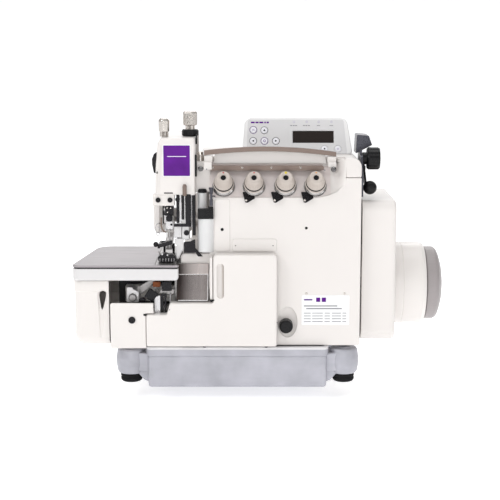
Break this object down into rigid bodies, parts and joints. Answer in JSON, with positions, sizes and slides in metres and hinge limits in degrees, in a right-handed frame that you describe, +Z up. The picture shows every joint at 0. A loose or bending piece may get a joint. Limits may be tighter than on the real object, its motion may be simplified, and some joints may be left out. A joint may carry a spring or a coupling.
{
  "type": "overlock sewing machine",
  "caption": "Industrial overlock machine head on its oil pan, with built-in motor, thread tensions, hinged covers and a control panel.",
  "frame": {"origin": "centre of the oil pan's flat bottom face", "axes": "+X towards the motor and handwheel, along the main shaft; -Y towards the operator; +Z up"},
  "size_m": [0.4959, 0.2074, 0.3633],
  "materials": {
    "cast_aluminium": "sand cast, satin",
    "cushion_rubber": "matt",
    "cream_paint": "satin enamel",
    "nickel": "bright plated",
    "machined_steel": "machined",
    "bronze_grey_metal": "bronze grey, satin",
    "plate_steel": "ground and plated",
    "panel_grey": "moulded, membrane front",
    "display_brown": "tinted window",
    "board_green": "fibreglass board",
    "winding_copper": "varnished windings",
    "wheel_grey": "satin",
    "knob_ivory": "moulded",
    "black_plastic": "moulded",
    "key_white": "domed key"
  },
  "bodies": {
    "machine": {"oil_pan": "cast_aluminium", "rubber_cushion_front_left": "cushion_rubber", "rubber_cushion_front_right": "cushion_rubber", "rubber_cushion_rear_left": "cushion_rubber", "rubber_cushion_rear_right": "cushion_rubber", "frame_casting": "cream_paint", "top_cover": "cream_paint", "tension_panel": "cream_paint", "rear_cover": "cream_paint", "head_cover": "cream_paint", "slotted_cap": "nickel", "needle_plate": "machined_steel", "lower_knife": "machined_steel", "chip_chute": "machined_steel", "front_left_cover": "cream_paint", "arched_thread_guide": "bronze_grey_metal", "lower_thread_guide": "bronze_grey_metal", "tension_disc_set_1": "nickel", "tension_disc_set_2": "nickel", "tension_disc_set_3": "nickel", "tension_disc_set_4": "nickel", "panel_housing": "panel_grey", "display_module": "display_brown", "motor_cover": "cream_paint", "control_board": "board_green", "motor_housing": "cream_paint", "motor_stator": "winding_copper", "feed_lever_bracket": "machined_steel"},
    "shaft_set": {"main_shaft": "machined_steel", "motor_rotor": "machined_steel", "handwheel": "wheel_grey"},
    "needle_set": {"needle_bar": "machined_steel", "needle_clamp": "machined_steel"},
    "presser_arm_set": {"presser_arm": "machined_steel"},
    "presser_foot_set": {"presser_foot": "machined_steel"},
    "knife_set": {"upper_knife_arm": "machined_steel", "upper_knife": "machined_steel"},
    "lower_looper_set": {"lower_looper": "machined_steel"},
    "upper_looper_set": {"upper_looper": "machined_steel"},
    "feed_set": {"feed_dog": "machined_steel"},
    "cloth_plate_set": {"cloth_plate": "plate_steel"},
    "side_cover_set": {"side_cover": "cream_paint"},
    "cover_rod_set": {"front_cover_hinge_rod": "machined_steel"},
    "front_cover_set": {"front_cover": "cream_paint"},
    "tension_knob_1_set": {"tension_knob_1": "knob_ivory"},
    "tension_knob_2_set": {"tension_knob_2": "knob_ivory"},
    "tension_knob_3_set": {"tension_knob_3": "knob_ivory"},
    "tension_knob_4_set": {"tension_knob_4": "knob_ivory"},
    "stitch_button_set": {"stitch_button": "black_plastic"},
    "feed_lever_set": {"feed_lever": "black_plastic"},
    "lock_knob_set": {"feed_lock_knob": "black_plastic"},
    "pressure_knob_set": {"pressure_knob": "nickel"},
    "key_menu_set": {"key_menu": "key_white"},
    "key_up_set": {"key_up": "key_white"},
    "key_left_set": {"key_left": "key_white"},
    "key_ok_set": {"key_ok": "key_white"},
    "key_right_set": {"key_right": "key_white"},
    "key_down_set": {"key_down": "key_white"},
    "key_light_set": {"key_light": "key_white"},
    "key_trim_set": {"key_trim": "key_white"}
  },
  "joints": [
    {"name": "shaft_turn", "type": "hinge", "parent": "machine", "child": "shaft_set", "pos_m": [0.26, 0, 0.1245], "axis": [1, 0, 0], "continuous": true},
    {"name": "needle_stroke", "type": "slide", "parent": "machine", "child": "needle_set", "axis": [0, 0, 1], "range_m": [-0.0245, 0]},
    {"name": "presser_lift", "type": "hinge", "parent": "machine", "child": "presser_arm_set", "pos_m": [-0.092, 0.03, 0.215], "axis": [-1, 0, 0], "range_deg": [0, 5], "stiffness_Nm_per_rad": 8, "springref_deg": -8.59},
    {"name": "foot_tilt", "type": "hinge", "parent": "presser_arm_set", "child": "presser_foot_set", "pos_m": [-0.092, -0.042, 0.182], "axis": [-1, 0, 0], "range_deg": [-1, 6], "stiffness_Nm_per_rad": 1},
    {"name": "knife_swing", "type": "hinge", "parent": "machine", "child": "knife_set", "pos_m": [-0.07, 0.01, 0.206], "axis": [-1, 0, 0], "range_deg": [-3, 3]},
    {"name": "lower_looper_rock", "type": "hinge", "parent": "machine", "child": "lower_looper_set", "pos_m": [-0.138, -0.063, 0.1208], "axis": [0, 1, 0], "range_deg": [-12, 10]},
    {"name": "upper_looper_rock", "type": "hinge", "parent": "machine", "child": "upper_looper_set", "pos_m": [-0.098, -0.063, 0.092], "axis": [0, 1, 0], "range_deg": [-10, 15]},
    {"name": "feed_stroke", "type": "slide", "parent": "machine", "child": "feed_set", "axis": [0, 1, 0], "range_m": [-0.003, 0.003]},
    {"name": "cloth_plate_swing", "type": "hinge", "parent": "machine", "child": "cloth_plate_set", "pos_m": [-0.118, 0.062, 0.156], "axis": [0, 0, -1], "range_deg": [0, 95]},
    {"name": "side_cover_swing", "type": "hinge", "parent": "machine", "child": "side_cover_set", "pos_m": [-0.173, 0.052, 0.097], "axis": [0, 0, -1], "range_deg": [0, 90]},
    {"name": "front_cover_slide", "type": "slide", "parent": "machine", "child": "cover_rod_set", "axis": [1, 0, 0], "range_m": [0, 0.0025]},
    {"name": "front_cover_tip", "type": "hinge", "parent": "cover_rod_set", "child": "front_cover_set", "pos_m": [-0.03, -0.099, 0.065], "axis": [1, 0, 0], "range_deg": [0, 75]},
    {"name": "tension_knob_1_turn", "type": "hinge", "parent": "machine", "child": "tension_knob_1_set", "pos_m": [-0.0174, -0.08062, 0.267], "axis": [0, -0.8572, 0.515], "range_deg": [-720, 720]},
    {"name": "tension_knob_2_turn", "type": "hinge", "parent": "machine", "child": "tension_knob_2_set", "pos_m": [0.022, -0.08062, 0.267], "axis": [0, -0.8572, 0.515], "range_deg": [-720, 720]},
    {"name": "tension_knob_3_turn", "type": "hinge", "parent": "machine", "child": "tension_knob_3_set", "pos_m": [0.0629, -0.08062, 0.267], "axis": [0, -0.8572, 0.515], "range_deg": [-720, 720]},
    {"name": "tension_knob_4_turn", "type": "hinge", "parent": "machine", "child": "tension_knob_4_set", "pos_m": [0.1019, -0.08062, 0.267], "axis": [0, -0.8572, 0.515], "range_deg": [-720, 720]},
    {"name": "stitch_button_press", "type": "slide", "parent": "machine", "child": "stitch_button_set", "axis": [0, 1, 0], "range_m": [0, 0.006], "stiffness_N_per_m": 600},
    {"name": "feed_lever_swing", "type": "hinge", "parent": "machine", "child": "feed_lever_set", "pos_m": [0.17, -0.022, 0.286], "axis": [-1, 0, 0], "range_deg": [-3, 20]},
    {"name": "lock_knob_turn", "type": "hinge", "parent": "machine", "child": "lock_knob_set", "pos_m": [0.178, -0.045, 0.3008], "axis": [1, 0, 0], "range_deg": [-180, 180]},
    {"name": "pressure_knob_turn", "type": "hinge", "parent": "machine", "child": "pressure_knob_set", "pos_m": [-0.062, -0.05, 0.35], "axis": [0, 0, 1], "range_deg": [-720, 720]},
    {"name": "key_menu_press", "type": "slide", "parent": "machine", "child": "key_menu_set", "axis": [0, 0.9511, -0.309], "range_m": [0, 0.0008], "stiffness_N_per_m": 900},
    {"name": "key_up_press", "type": "slide", "parent": "machine", "child": "key_up_set", "axis": [0, 0.9511, -0.309], "range_m": [0, 0.0008], "stiffness_N_per_m": 900},
    {"name": "key_left_press", "type": "slide", "parent": "machine", "child": "key_left_set", "axis": [0, 0.9511, -0.309], "range_m": [0, 0.0008], "stiffness_N_per_m": 900},
    {"name": "key_ok_press", "type": "slide", "parent": "machine", "child": "key_ok_set", "axis": [0, 0.9511, -0.309], "range_m": [0, 0.0008], "stiffness_N_per_m": 900},
    {"name": "key_right_press", "type": "slide", "parent": "machine", "child": "key_right_set", "axis": [0, 0.9511, -0.309], "range_m": [0, 0.0008], "stiffness_N_per_m": 900},
    {"name": "key_down_press", "type": "slide", "parent": "machine", "child": "key_down_set", "axis": [0, 0.9511, -0.309], "range_m": [0, 0.0008], "stiffness_N_per_m": 900},
    {"name": "key_light_press", "type": "slide", "parent": "machine", "child": "key_light_set", "axis": [0, 0.9511, -0.309], "range_m": [0, 0.0008], "stiffness_N_per_m": 900},
    {"name": "key_trim_press", "type": "slide", "parent": "machine", "child": "key_trim_set", "axis": [0, 0.9511, -0.309], "range_m": [0, 0.0008], "stiffness_N_per_m": 900}
  ]
}
